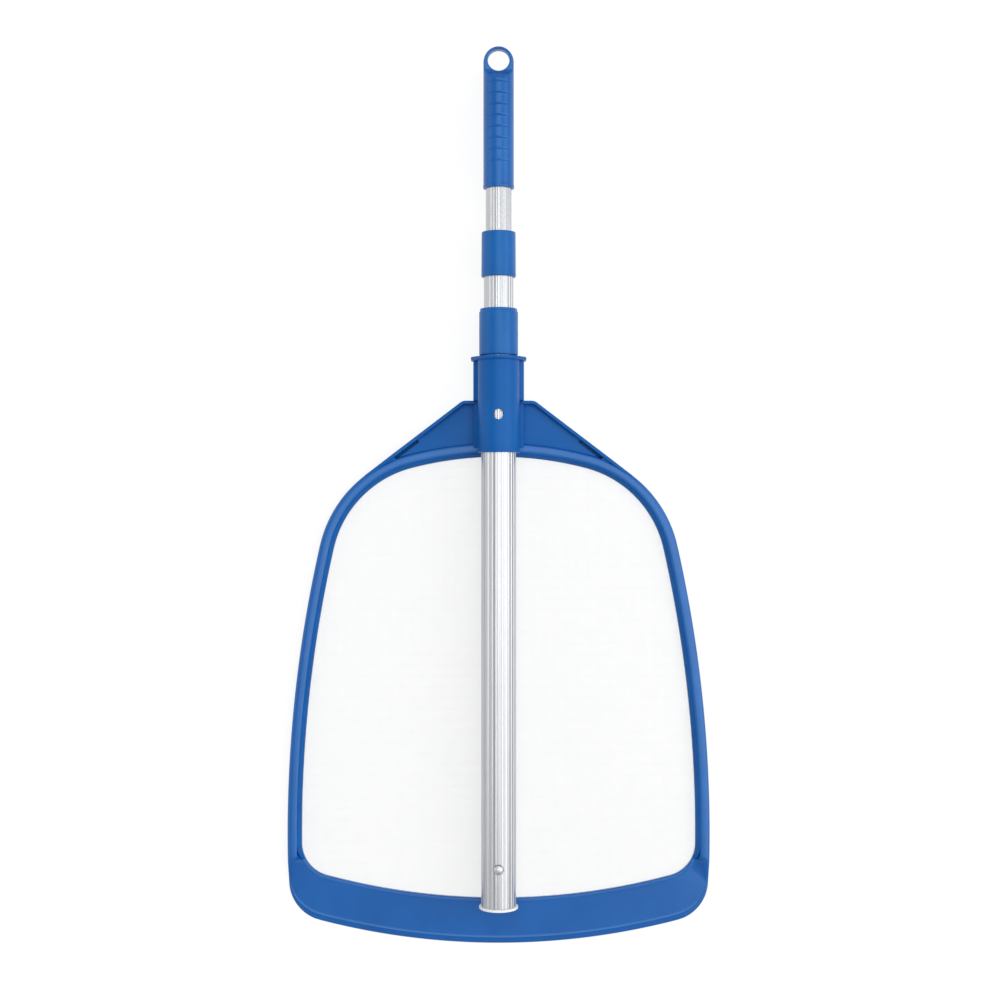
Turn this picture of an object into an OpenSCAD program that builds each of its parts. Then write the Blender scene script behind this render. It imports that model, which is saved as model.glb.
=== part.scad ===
// Leaf skimmer for pools and spas.
// A D-shaped scoop head lies flat, net side up, with a three-section
// telescopic pole held above it in the storage position.
// +Z is up, +Y runs along the pole towards the grip, the head rests on Z = 0.

/* [Hoop] */
// Inner width of the net opening at its widest
hoop_in_w = 343.4; // [300:0.2:400]
// Inner length of the net opening on the centre line
hoop_in_len = 384.9; // [340:0.1:440]
// Height of the widest line above the blade
widest_above_blade = 57; // [40:1:80]
// Inner radius of the arch under the pole
arch_r = 300; // [260:1:340]
// Inner radius of the shoulders
shoulder_r = 93.7; // [80:0.1:105]
// Inner radius of the long sides
side_r = 1120; // [900:5:1400]
// Inner radius of the two corners at the blade
corner_in_r = 29.2; // [22:0.1:34]
// Width of the hoop rail, ledge included
rail_w = 12.1; // [10:0.1:15]
// Height of the hoop rail
rail_h = 10; // [8:0.1:10.6]
// Rounding of the rail's top edges
rail_round = 3; // [1:0.1:3.9]
// Width of the ledge that carries the edge of the net
ledge_w = 3.5; // [2.5:0.1:4.2]

/* [Scoop blade] */
// Radius of the blade's top edge
blade_r = 580; // [500:1:700]
// Height of the blade from its top edge to its lip
blade_h = 39.6; // [30:0.1:50]
// Thickness of the blade
blade_t = 4.6; // [4.2:0.1:6]
// Height of the bevel along the lip
lip_bevel = 7; // [4:0.1:12]
// Thickness of the blade at its lip
lip_t = 1.8; // [1:0.1:3]
// Outer radius of the two blade corners
corner_out_r = 35.7; // [28:0.1:44]

/* [Net] */
// Thickness of the net sheet
net_t = 1; // [0.6:0.1:1.6]
// Thickness of the ledge below the net
ledge_t = 2.2; // [1.5:0.1:2.6]
// Height of the ring that clamps the net on the ledge
clamp_h = 3.2; // [2:0.1:4]

/* [Bracket] */
// Height of the flat top of the bracket above the arch's inner edge
bracket_h = 48.6; // [42:0.1:56]
// Slope of the bracket's outer ribs
bracket_slope = 37.3; // [35:0.1:40]
// Height of the bracket's ribs
bracket_rib_h = 12; // [9:0.1:16]
// Width of the bracket's ribs
bracket_rib_w = 3.3; // [2.5:0.1:5]
// Height of the underside of the bracket's web above the floor
web_z = 3.6; // [0:0.1:5]
// Thickness of the bracket's web
web_t = 3.4; // [2:0.1:5]
// Length of the slot at the tip of each bracket
slot_len = 25; // [12:0.5:30]
// Width of that slot
slot_w = 2.2; // [1.6:0.1:3]
// Floor left under the slot beside the rib
slot_floor = 0.8; // [0.6:0.1:2]

/* [Pole socket] */
// Height of the pole's axis above the floor
axis_z = 28; // [27:0.1:32]
// Length of the socket
socket_len = 82.1; // [70:0.1:100]
// Distance from the arch's inner edge to the socket's lower end
socket_foot = 2.9; // [1:0.1:6]
// Wall of the socket
socket_wall = 2.6; // [2:0.1:3]
// Width of the socket across its side walls
saddle_w = 43.6; // [41:0.1:46]
// Thickness of the side walls
saddle_wall = 3.6; // [2.5:0.1:4.2]
// Overhang of the socket's rim
rim_over = 2.1; // [1.5:0.1:3]
// Thickness of the rim
rim_t = 3; // [2.4:0.1:5]
// Distance from the socket's lower end to the button hole
hole_up = 32.3; // [26:0.1:50]
// Diameter of the button holes in the socket
socket_hole_d = 9; // [8.6:0.1:10]

/* [Pole] */
// Outer diameter of the outer tube
outer_d = 30; // [29:0.1:31]
// Outer diameter of the middle tube
middle_d = 25.2; // [24.6:0.1:25.4]
// Outer diameter of the inner tube
inner_d = 22; // [21.4:0.1:22.2]
// Wall of the outer and middle tubes
tube_wall = 1.2; // [1:0.05:1.2]
// Wall of the inner tube
inner_wall = 1.1; // [0.9:0.05:1.3]
// Length of the outer tube
outer_len = 500.8; // [440:0.1:540]
// Stretch of the middle tube that shows when the pole is stored
middle_show = 27.1; // [10:0.1:60]
// Stretch of the inner tube that shows when the pole is stored
inner_show = 37.2; // [10:0.1:60]
// Number of flutes round each tube
flute_count = 28; // [16:1:36]
// Depth of the flutes
flute_depth = 0.35; // [0.1:0.05:0.5]
// Radial play of the outer tube in the socket
slide_play = 0.3; // [0.15:0.05:0.4]
// Radial play of the tubes in the collars
collar_play = 0.35; // [0.33:0.01:0.45]

/* [Collars] */
// Diameter of the outer collar
outer_collar_d = 33.3; // [32.5:0.1:36]
// Length of the outer collar
outer_collar_len = 40.4; // [34:0.1:50]
// Top diameter of the middle collar
middle_collar_d = 29.1; // [28.2:0.1:30]
// Flare of the middle collar towards its lower end
middle_collar_flare = 0.6; // [0:0.1:1]
// Length of the middle collar
middle_collar_len = 38.5; // [30:0.1:45]
// Length of each collar's cap above the end of its tube
collar_cap = 10.4; // [8:0.1:14]

/* [Grip] */
// Diameter of the grip
grip_d = 26.7; // [25.5:0.1:30]
// Length of the grip
grip_len = 121.8; // [110:0.1:140]
// Length of tube inside the grip
grip_insert = 81.5; // [60:0.1:86]
// Thickness of the hanging tab
tab_t = 9.5; // [7:0.1:12]
// Diameter of the hanging hole
hang_d = 18.7; // [14:0.1:19]
// Height of the hanging hole above the centre of the tab's rounding
hang_up = 1.3; // [0:0.1:1.6]
// Number of ring grooves
groove_count = 8; // [4:1:9]
// Distance between the grooves
groove_pitch = 9.56; // [8:0.01:10]
// Width of a groove
groove_w = 1.7; // [1:0.1:2.4]
// Depth of a groove
groove_depth = 0.7; // [0.4:0.1:1.2]
// Distance from the grip's lower end to the first groove
groove_up = 22.8; // [16:0.1:26]

/* [End plug and snap buttons] */
// Diameter of the end plug's flange
plug_d = 33.4; // [31.5:0.1:33.6]
// Thickness of the end plug's flange
plug_t = 2.2; // [1.5:0.1:4]
// Length of the end plug's spigot
plug_spigot = 18; // [10:0.1:20]
// Distance from the end of the outer tube to the snap buttons
button_up = 33.9; // [31:0.1:38]
// Diameter of the snap buttons
button_d = 8; // [7.4:0.1:8.2]
// Height of a button's dome above the tube
button_out = 2.6; // [1.5:0.1:2.8]
// Gap round a button in its hole
button_gap = 0.4; // [0.2:0.05:0.5]
// Thickness of the button spring
spring_t = 0.8; // [0.5:0.05:1]
// Width of the button spring
spring_w = 9; // [6:0.1:10]
// Length of the button spring from the buttons to its bend
spring_len = 29.4; // [26:0.1:30]

/* [Twist locks] */
// Offset of the cam journals from the axis of their tube
cam_off = 0.2; // [0.1:0.01:0.2]
// Length of the lock rings
ring_len = 12; // [8:0.1:13]
// Radial play of the lock rings in their tube
ring_play = 0.2; // [0.1:0.01:0.3]
// Axial play of the lock rings
ring_end_play = 0.3; // [0.2:0.01:0.4]
// Width of the split in the lock rings
ring_split = 2; // [1:0.1:3]
// Diameter of the middle cam journal
middle_journal_d = 16; // [14:0.1:18]
// Diameter of the inner cam journal
inner_journal_d = 13; // [11:0.1:14]
// Thickness of the cam plugs' flanges and heads
cam_flange = 2; // [1.5:0.1:2.5]
// Length of the cam plugs' spigots
cam_spigot = 20; // [14:0.1:22]

/* [Hidden] */

$fn = 96;
arc_fn = 720;
blue = [0.15, 0.38, 0.67];
metal = [0.80, 0.81, 0.83];
pale = [0.95, 0.95, 0.95];
steel = [0.62, 0.63, 0.65];

// Clearances that every fit shares
seat = 0.3;
press = 0.05;
over = 1;
clamp_gap = 0.1;
joint_run = 0.1;
joint_step = 0.03;
round_steps = 5;

// Places along the pole, measured first from the arch's inner edge
blade_bottom_rel = -hoop_in_len - blade_h;
socket_top_rel = socket_foot + socket_len;
outer_collar_rel = socket_top_rel + 0.6;
outer_top_rel = outer_collar_rel + outer_collar_len - collar_cap;
outer_bottom_rel = outer_top_rel - outer_len;
button_rel = outer_bottom_rel + button_up;
bend_rel = button_rel + spring_len;
bend_r = 2.5;
middle_head_rel = bend_rel + bend_r + spring_t + 0.8;
middle_ring_rel = middle_head_rel + cam_flange + ring_end_play;
middle_flange_rel = middle_ring_rel + ring_len + ring_end_play;
middle_bottom_rel = middle_flange_rel + cam_flange;
middle_collar_rel = outer_collar_rel + outer_collar_len + middle_show;
middle_len = middle_collar_rel + middle_collar_len - collar_cap - middle_bottom_rel;
inner_head_rel = middle_bottom_rel + cam_spigot + 0.6;
inner_ring_rel = inner_head_rel + cam_flange + ring_end_play;
inner_flange_rel = inner_ring_rel + ring_len + ring_end_play;
inner_bottom_rel = inner_flange_rel + cam_flange;
grip_bottom_rel = middle_collar_rel + middle_collar_len + inner_show;
inner_len = grip_bottom_rel + grip_insert - inner_bottom_rel;
grip_top_rel = grip_bottom_rel + grip_len;

// The origin lies midway along the stored skimmer
arch_y = -(grip_top_rel + blade_bottom_rel) / 2;
blade_y = arch_y - hoop_in_len;
socket_y = arch_y + socket_foot;
socket_top = arch_y + socket_top_rel;
hole_y = socket_y + hole_up;
outer_collar_y = arch_y + outer_collar_rel;
outer_bottom = arch_y + outer_bottom_rel;
button_y = arch_y + button_rel;
bend_y = arch_y + bend_rel;
middle_ring_y = arch_y + middle_ring_rel;
middle_bottom = arch_y + middle_bottom_rel;
middle_collar_y = arch_y + middle_collar_rel;
inner_ring_y = arch_y + inner_ring_rel;
inner_bottom = arch_y + inner_bottom_rel;
grip_y = arch_y + grip_bottom_rel;
grip_top = arch_y + grip_top_rel;

// Centres of the tangent arcs that make the hoop's right half
half_w = hoop_in_w / 2;
arch_c = [0, arch_y - arch_r];
blade_c = [0, blade_y + blade_r];
side_c = [half_w - side_r, blade_y + widest_above_blade];
shoulder_c = meet(arch_c, arch_r - shoulder_r, side_c, side_r - shoulder_r);
corner_in_c = meet(side_c, side_r - corner_in_r, blade_c, blade_r - corner_in_r);
side_out_r = side_r + rail_w;
lip_r = blade_r + blade_h;
corner_out_c = meet(side_c, side_out_r - corner_out_r, blade_c, lip_r - corner_out_r);

// Directions in which neighbouring arcs meet
arch_end = angle_to(arch_c, shoulder_c);
shoulder_end = angle_to(side_c, shoulder_c);
side_end = angle_to(side_c, corner_in_c);
blade_start = angle_to(blade_c, corner_in_c);
rim_end = angle_to(side_c, corner_out_c);
lip_start = angle_to(blade_c, corner_out_c);

ridge_w = rail_w - ledge_w;
clamp_z = ledge_t + net_t;
outer_bore = outer_d - 2 * tube_wall;
middle_bore = middle_d - 2 * tube_wall;
inner_bore = inner_d - 2 * inner_wall;
socket_bore = outer_d + 2 * slide_play;
socket_d = socket_bore + 2 * socket_wall;

// Where two circles meet, to the right of the line from the first centre
function meet(a, ra, b, rb) =
    let (d = norm(b - a))
    let (along = (ra * ra - rb * rb + d * d) / (2 * d))
    let (across = sqrt(ra * ra - along * along))
    let (u = (b - a) / d)
    a + along * u + across * [u[1], -u[0]];

function angle_to(a, b) = atan2(b[1] - a[1], b[0] - a[0]);
function polar(c, r, a) = c + r * [cos(a), sin(a)];

// Solid of revolution along the pole, from y upwards
module along_pole(y) {
    translate([0, y, axis_z])
        rotate([-90, 0, 0])
            children();
}

// An arc of a hoop profile drawn as [radius, height], run a hair past the ends
// that another arc of the same piece joins
module swept(c, r, from, to, low_run = joint_run, high_run = joint_run) {
    low = from - low_run / r * 180 / PI;
    high = to + high_run / r * 180 / PI;
    translate(c)
        rotate([0, 0, low])
            rotate_extrude(angle = high - low, $fn = arc_fn)
                children();
}

module both_sides() {
    children();
    mirror([1, 0, 0])
        children();
}

// Rail section from its inner edge, with the low ledge that carries the net,
// made smaller all round by trim
module rail_section(r, trim = 0) {
    low = ledge_t - trim;
    start = r + ledge_w + trim;
    polygon(concat([[r + trim, low], [r + trim, 0]], ridge_points(r + ledge_w, trim), [[start, low]]));
}

module ridge_section(r, trim = 0) {
    polygon(concat([[r + trim, 0]], ridge_points(r, trim)));
}

// The ridge from the floor up its outer side, over the top and down inside
function ridge_points(r, trim = 0) =
    let (high = rail_h - trim)
    let (side = r + ridge_w - trim)
    let (bend = rail_round)
    concat(
        [[side, 0]],
        arc_points([side - bend, high - bend], bend, 0, 90, round_steps),
        [[side - bend, high]],
        arc_points([r + trim + bend, high - bend], bend, 90, 180, round_steps),
        [[r + trim, high - bend]]);

// Points from the arch's middle down the right side to the corner, grown outwards
function right_run(grow) = concat(
    arc_points(arch_c, arch_r + grow, 90, arch_end, 10),
    arc_points(shoulder_c, shoulder_r + grow, arch_end, shoulder_end, 24),
    arc_points(side_c, side_r + grow, shoulder_end, side_end, 14),
    [polar(side_c, side_r + grow, side_end)]);

// The same, on round the corner and along the blade to the middle
function half_outline(grow) = concat(
    right_run(grow),
    arc_points(corner_in_c, corner_in_r + grow, side_end, blade_start, 16, 1),
    arc_points(blade_c, blade_r + grow, blade_start, -90, 8));

// Points of an arc, without its last one
function arc_points(c, r, from, to, steps, first = 0) =
    [for (i = [first:steps - 1]) polar(c, r, from + (to - from) * i / steps)];

function reversed(p) = [for (i = [len(p) - 1:-1:0]) p[i]];

// The left side's points, without the one on the centre line
function mirrored(p) = [for (i = [1:len(p) - 1]) [-p[i][0], p[i][1]]];

// Wedge between two directions, long enough to reach past the hoop
module wedge(c, from, to, reach) {
    polygon([c, polar(c, reach, from), polar(c, reach, (from + to) / 2), polar(c, reach, to)]);
}

module disc(c, r) {
    translate(c)
        circle(r = r, $fn = arc_fn);
}

module hoop_rail() {
    color(blue) {
        swept(arch_c, arch_r, arch_end, 180 - arch_end)
            rail_section(arch_r);
        both_sides() {
            swept(shoulder_c, shoulder_r, shoulder_end, arch_end)
                rail_section(shoulder_r, joint_step);
            swept(side_c, side_r, side_end, shoulder_end, low_run = 0)
                rail_section(side_r);
        }
    }
}

module net_clamp_ring() {
    outside = right_run(ledge_w - clamp_gap);
    inside = right_run(clamp_gap);
    color(blue)
        translate([0, 0, clamp_z])
            linear_extrude(clamp_h)
                polygon(concat(outside, reversed(inside), mirrored(inside), reversed(mirrored(outside))));
}

module net() {
    right = half_outline(ledge_w - seat);
    color(pale)
        translate([0, 0, ledge_t])
            linear_extrude(net_t)
                polygon(concat(right, reversed(mirrored(right))));
}

// Blade section from its top edge, with the slot that holds the net
module blade_section() {
    slot_low = ledge_t - press;
    slot_high = clamp_z + press;
    edge = 0.8;
    polygon([
        [blade_r, 0],
        [lip_r, 0],
        [lip_r, lip_t],
        [lip_r - lip_bevel, blade_t],
        [blade_r + edge, blade_t],
        [blade_r, blade_t - edge],
        [blade_r, slot_high],
        [blade_r + ledge_w, slot_high],
        [blade_r + ledge_w, slot_low],
        [blade_r, slot_low]
    ]);
}

// Plan of the plate in a blade corner, made smaller all round by trim
module corner_shape(trim) {
    reach = blade_h * 4;
    difference() {
        intersection() {
            disc(side_c, side_out_r - trim);
            disc(blade_c, lip_r - trim);
            wedge(corner_in_c, blade_start, side_end, reach);
        }
        difference() {
            wedge(corner_out_c, lip_start, rim_end, reach);
            disc(corner_out_c, corner_out_r - trim);
        }
        disc(corner_in_c, corner_in_r + trim);
    }
}

module scoop_blade() {
    color(blue)
        swept(blade_c, blade_r, -180 - blade_start, blade_start, 0, 0)
            blade_section();
}

// Plate that joins the rail and the blade, with the rail's ridge run out over it
module blade_corner() {
    color(blue) {
        difference() {
            linear_extrude(blade_t - joint_step)
                corner_shape(2 * joint_step);
            translate([corner_in_c[0], corner_in_c[1], ledge_t - press])
                cylinder(r = corner_in_r + ledge_w - 3 * joint_step, h = net_t + 2 * press, $fn = arc_fn);
        }
        difference() {
            swept(side_c, side_r, rim_end, side_end, high_run = 0)
                ridge_section(side_r + ledge_w, -joint_step);
            ridge_ramp();
        }
    }
}

module corner_right() {
    blade_corner();
}

module corner_left() {
    mirror([1, 0, 0])
        blade_corner();
}

// What lies above the slope on which the ridge runs down into the blade
module ridge_ramp() {
    high = polar(side_c, side_out_r, side_end);
    low = polar(side_c, side_out_r, rim_end);
    run = norm(low - high);
    drop = rail_h - blade_t + 4 * joint_step;
    translate([high[0], high[1], rail_h - joint_step])
        rotate([0, 0, angle_to(high, low)])
            rotate([0, atan(drop / run), 0])
                translate([-run, -run, 0])
                    cube([3 * run, 2 * run, rail_h]);
}

// Outline of the right bracket, moved inwards by a rib width where asked
module bracket_outline(inset) {
    across = [sin(bracket_slope), cos(bracket_slope)];
    tip = shoulder_c + (shoulder_r + rail_w - inset) * across;
    foot = shoulder_c + shoulder_r * across;
    top = arch_y + bracket_h - inset;
    knee = tip[0] - (top - tip[1]) / tan(bracket_slope);
    polygon([
        [saddle_w / 2, top],
        [knee, top],
        tip,
        foot,
        [saddle_w / 2, foot[1]]
    ]);
}

// The rail and all that it encloses, each arc's part lapping over the next
module rail_area() {
    lap = 0.2;
    intersection() {
        disc(arch_c, arch_r + rail_w);
        wedge(arch_c, arch_end, 90, 2 * arch_r);
    }
    intersection() {
        disc(shoulder_c, shoulder_r + rail_w);
        wedge(shoulder_c, shoulder_end, arch_end + lap, 2 * arch_r);
    }
}

module bracket_slot() {
    r = shoulder_r + rail_w;
    low = r - bracket_rib_w - slot_w;
    middle = low + slot_w / 2;
    start = sqrt(r * r - middle * middle);
    translate(shoulder_c)
        rotate(90 - bracket_slope)
            translate([low, start])
                square([slot_w, slot_len]);
}

module bracket() {
    color(blue)
        difference() {
            linear_extrude(bracket_rib_h)
                difference() {
                    bracket_outline(0);
                    rail_area();
                }
            translate([0, 0, web_z + web_t])
                linear_extrude(bracket_rib_h)
                    bracket_outline(bracket_rib_w);
            translate([0, 0, web_z - bracket_rib_h])
                linear_extrude(bracket_rib_h)
                    bracket_outline(bracket_rib_w);
            translate([0, 0, web_z + slot_floor])
                linear_extrude(bracket_rib_h)
                    bracket_slot();
        }
}

module bracket_right() {
    bracket();
}

module bracket_left() {
    mirror([1, 0, 0])
        bracket();
}

// Rim of the socket: round over the pole, and straight down to the floor at the sides
module rim_shape() {
    round_r = socket_d / 2 + rim_over;
    half = saddle_w / 2 + rim_over;
    touch = acos(round_r / half);
    translate([0, axis_z]) {
        circle(r = round_r);
        polygon([
            [-half, -axis_z],
            [half, -axis_z],
            [half, 0],
            round_r * [cos(touch), sin(touch)],
            round_r * [-cos(touch), sin(touch)],
            [-half, 0]
        ]);
    }
}

module pole_socket() {
    wall_top = axis_z - 4;
    rib_t = 2.4;
    color(blue)
        difference() {
            union() {
                along_pole(socket_y)
                    cylinder(d = socket_d, h = socket_len);
                translate([0, socket_top, 0])
                    rotate([90, 0, 0])
                        linear_extrude(rim_t)
                            rim_shape();
                both_sides()
                    translate([saddle_w / 2 - saddle_wall, socket_y, 0])
                        cube([saddle_wall, socket_len, wall_top]);
                for (share = [0.25, 0.6])
                    translate([-saddle_w / 2, socket_y + share * socket_len, 0])
                        cube([saddle_w, rib_t, axis_z - outer_d / 2]);
            }
            along_pole(socket_y - over)
                cylinder(d = socket_bore, h = socket_len + 2 * over);
            along_pole(socket_top - over)
                cylinder(d1 = socket_bore, d2 = socket_bore + 4 * over, h = 2 * over);
            translate([0, hole_y, -over])
                cylinder(d = socket_hole_d, h = 2 * axis_z);
            translate([arch_c[0], arch_c[1], -over])
                cylinder(r = arch_r + rail_w, h = rail_h + over, $fn = arc_fn);
        }
}

// Cross-section of a fluted tube
module tube_section(d, wall) {
    groove_r = 1.2;
    difference() {
        circle(d = d);
        circle(d = d - 2 * wall);
        for (i = [0:flute_count - 1])
            rotate(360 * (i + 0.5) / flute_count)
                translate([d / 2 + groove_r - flute_depth, 0])
                    circle(r = groove_r, $fn = 32);
    }
}

module fluted_tube(y, d, wall, length) {
    along_pole(y)
        linear_extrude(length)
            tube_section(d, wall);
}

module outer_tube() {
    color(metal)
        difference() {
            fluted_tube(outer_bottom, outer_d, tube_wall, outer_len);
            translate([0, button_y, axis_z - outer_d])
                cylinder(d = button_d + 2 * button_gap, h = 2 * outer_d);
        }
}

module middle_tube() {
    color(metal)
        fluted_tube(middle_bottom, middle_d, tube_wall, middle_len);
}

module inner_tube() {
    color(metal)
        fluted_tube(inner_bottom, inner_d, inner_wall, inner_len);
}

// Stepped bore of a collar that sits on one tube and guides the next
module collar_bores(length, on_d, guided_d) {
    translate([0, 0, -over])
        cylinder(d = on_d + 2 * press, h = length - collar_cap + over);
    cylinder(d = guided_d + 2 * collar_play, h = length + over);
}

module outer_collar() {
    round_r = 2;
    shoulder = 2.4;
    r = outer_collar_d / 2;
    color(blue)
        along_pole(outer_collar_y)
            difference() {
                rotate_extrude() {
                    square([r - round_r, outer_collar_len - shoulder]);
                    translate([0, round_r])
                        square([r, outer_collar_len - shoulder - round_r]);
                    translate([r - round_r, round_r])
                        circle(r = round_r, $fn = 48);
                    square([r - 0.7, outer_collar_len]);
                }
                collar_bores(outer_collar_len, outer_d, middle_d);
            }
}

module middle_collar() {
    edge = 0.8;
    low_d = middle_collar_d + middle_collar_flare;
    color(blue)
        along_pole(middle_collar_y)
            difference() {
                union() {
                    cylinder(d1 = low_d - 2 * edge, d2 = low_d, h = edge);
                    translate([0, 0, edge])
                        cylinder(d1 = low_d, d2 = middle_collar_d, h = middle_collar_len - 2 * edge);
                    translate([0, 0, middle_collar_len - edge])
                        cylinder(d1 = middle_collar_d, d2 = middle_collar_d - 2 * edge, h = edge);
                }
                collar_bores(middle_collar_len, middle_d, inner_d);
            }
}

module end_plug() {
    edge = 0.8;
    wall = 2;
    spigot_d = outer_bore - 2 * press;
    color(pale)
        along_pole(outer_bottom - plug_t)
            difference() {
                union() {
                    cylinder(d1 = plug_d - 2 * edge, d2 = plug_d, h = edge);
                    translate([0, 0, edge])
                        cylinder(d = plug_d, h = plug_t - edge);
                    cylinder(d = spigot_d, h = plug_t + plug_spigot);
                }
                translate([0, 0, plug_t])
                    cylinder(d = spigot_d - 2 * wall, h = plug_spigot + over);
            }
}

// One half of the bent button spring, above the pole's axis
module half_spring() {
    face = button_seat();
    flat = 6;
    translate([-spring_w / 2, 0, axis_z])
        rotate([90, 0, 90])
            linear_extrude(spring_w) {
                polygon([
                    [bend_y, bend_r],
                    [bend_y, bend_r + spring_t],
                    [button_y + flat, face],
                    [button_y - flat, face],
                    [button_y - flat, face - spring_t],
                    [button_y + flat, face - spring_t]
                ]);
                translate([bend_y, 0])
                    intersection() {
                        difference() {
                            circle(r = bend_r + spring_t);
                            circle(r = bend_r);
                        }
                        square(2 * bend_r + spring_t);
                    }
            }
}

// Height of the spring's outer face below a button, from the pole's axis
function button_seat() = outer_bore / 2 - 2.2;

module button_spring_front() {
    color(steel)
        half_spring();
}

module button_spring_back() {
    color(steel)
        translate([0, 0, 2 * axis_z])
            mirror([0, 0, 1])
                half_spring();
}

module snap_button() {
    dome_h = 1.6;
    r = button_d / 2;
    ball_r = (r * r + dome_h * dome_h) / (2 * dome_h);
    top = outer_d / 2 + button_out;
    translate([0, button_y, 0]) {
        translate([0, 0, button_seat()])
            cylinder(r = r + 1.5, h = 0.7);
        intersection() {
            translate([0, 0, button_seat()])
                cylinder(r = r, h = top - button_seat());
            translate([0, 0, top - ball_r])
                sphere(r = ball_r);
        }
    }
}

module snap_button_front() {
    color(steel)
        translate([0, 0, axis_z])
            snap_button();
}

module snap_button_back() {
    color(steel)
        translate([0, 0, axis_z])
            mirror([0, 0, 1])
                snap_button();
}

// Split ring that wedges in a tube when its cam is turned
module lock_ring(y, bore, journal_d) {
    d = bore - 2 * ring_play;
    along_pole(y)
        difference() {
            cylinder(d = d, h = ring_len);
            translate([cam_off, 0, -over])
                cylinder(d = journal_d + 3 * press, h = ring_len + 2 * over);
            translate([-d, -ring_split / 2, -over])
                cube([d, ring_split, ring_len + 2 * over]);
        }
}

// Plug in the end of a tube, with the cam journal that turns in the lock ring
module cam_plug(bottom, tube_d, bore, journal_d) {
    head_over = 1.5;
    gap = ring_len + 2 * ring_end_play;
    head_y = -2 * cam_flange - gap;
    along_pole(bottom) {
        translate([0, 0, -cam_flange / 2])
            cylinder(d = bore - 2 * press, h = cam_spigot + cam_flange / 2);
        translate([0, 0, -cam_flange])
            cylinder(d = tube_d - 2 * flute_depth, h = cam_flange);
        translate([cam_off, 0, head_y])
            cylinder(d = journal_d, h = gap + 1.5 * cam_flange);
        translate([cam_off, 0, head_y])
            cylinder(d = journal_d + 2 * head_over, h = cam_flange);
    }
}

module middle_lock_ring() {
    color(pale)
        lock_ring(middle_ring_y, outer_bore, middle_journal_d);
}

module middle_cam_plug() {
    color(blue)
        cam_plug(middle_bottom, middle_d, middle_bore, middle_journal_d);
}

module inner_lock_ring() {
    color(pale)
        lock_ring(inner_ring_y, middle_bore, inner_journal_d);
}

module inner_cam_plug() {
    color(blue)
        cam_plug(inner_bottom, inner_d, inner_bore, inner_journal_d);
}

// Side view of the grip, full below and pared down to the tab above
module grip_side() {
    r = grip_d / 2;
    tab_y = grip_top - r + hang_up - hang_d / 2 - 2.4;
    slope = 6;
    polygon([
        [grip_y, -r],
        [grip_y, r],
        [tab_y - slope, r],
        [tab_y, tab_t / 2],
        [grip_top, tab_t / 2],
        [grip_top, -tab_t / 2],
        [tab_y, -tab_t / 2],
        [tab_y - slope, -r]
    ]);
}

module grip() {
    r = grip_d / 2;
    edge = 0.8;
    cut_r = groove_w * groove_w / (8 * groove_depth) + groove_depth / 2;
    color(blue)
        difference() {
            intersection() {
                along_pole(grip_y) {
                    rotate_extrude()
                        polygon([
                            [0, 0],
                            [r - edge, 0],
                            [r, edge],
                            [r, grip_len - r],
                            [0, grip_len - r]
                        ]);
                    translate([0, 0, grip_len - r])
                        sphere(r = r);
                }
                translate([-r, 0, axis_z])
                    rotate([90, 0, 90])
                        linear_extrude(grip_d)
                            grip_side();
            }
            for (i = [0:groove_count - 1])
                along_pole(grip_y + groove_up + i * groove_pitch)
                    rotate_extrude()
                        translate([r - groove_depth + cut_r, 0])
                            circle(r = cut_r, $fn = 32);
            along_pole(grip_y - over)
                cylinder(d = inner_d + 2 * press, h = grip_insert + over + press);
            translate([0, grip_top - r + hang_up, axis_z - grip_d])
                cylinder(d = hang_d, h = 2 * grip_d);
        }
}

hoop_rail();
scoop_blade();
corner_left();
corner_right();
net_clamp_ring();
net();
bracket_left();
bracket_right();
pole_socket();
outer_tube();
outer_collar();
end_plug();
button_spring_front();
button_spring_back();
snap_button_front();
snap_button_back();
middle_lock_ring();
middle_tube();
middle_collar();
middle_cam_plug();
inner_lock_ring();
inner_tube();
inner_cam_plug();
grip();
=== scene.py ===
import math

import bmesh
import bpy
from mathutils import Matrix, Vector


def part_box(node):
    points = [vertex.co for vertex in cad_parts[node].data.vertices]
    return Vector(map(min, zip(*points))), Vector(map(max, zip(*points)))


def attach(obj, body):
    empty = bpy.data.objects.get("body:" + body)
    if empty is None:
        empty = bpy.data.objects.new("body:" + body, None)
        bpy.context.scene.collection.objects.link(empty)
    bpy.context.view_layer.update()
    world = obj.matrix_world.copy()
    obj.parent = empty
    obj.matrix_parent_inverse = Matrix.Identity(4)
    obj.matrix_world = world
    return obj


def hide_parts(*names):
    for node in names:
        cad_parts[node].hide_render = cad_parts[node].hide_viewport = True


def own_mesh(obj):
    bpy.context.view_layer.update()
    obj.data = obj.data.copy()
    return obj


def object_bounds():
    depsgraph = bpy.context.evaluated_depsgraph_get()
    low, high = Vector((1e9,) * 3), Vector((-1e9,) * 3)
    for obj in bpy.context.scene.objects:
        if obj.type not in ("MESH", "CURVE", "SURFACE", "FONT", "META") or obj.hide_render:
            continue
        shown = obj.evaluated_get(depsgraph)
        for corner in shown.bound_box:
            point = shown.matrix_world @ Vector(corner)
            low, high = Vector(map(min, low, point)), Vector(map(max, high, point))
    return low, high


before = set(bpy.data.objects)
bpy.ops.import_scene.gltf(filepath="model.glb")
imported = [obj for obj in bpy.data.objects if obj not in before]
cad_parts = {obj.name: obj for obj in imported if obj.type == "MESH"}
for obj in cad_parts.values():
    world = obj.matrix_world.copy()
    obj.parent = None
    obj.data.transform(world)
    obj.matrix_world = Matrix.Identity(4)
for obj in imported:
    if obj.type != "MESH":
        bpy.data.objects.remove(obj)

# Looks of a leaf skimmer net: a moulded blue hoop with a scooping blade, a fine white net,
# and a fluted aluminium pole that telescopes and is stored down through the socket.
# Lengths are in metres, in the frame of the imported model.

CAD_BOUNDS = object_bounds()
MM = 0.001


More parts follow.
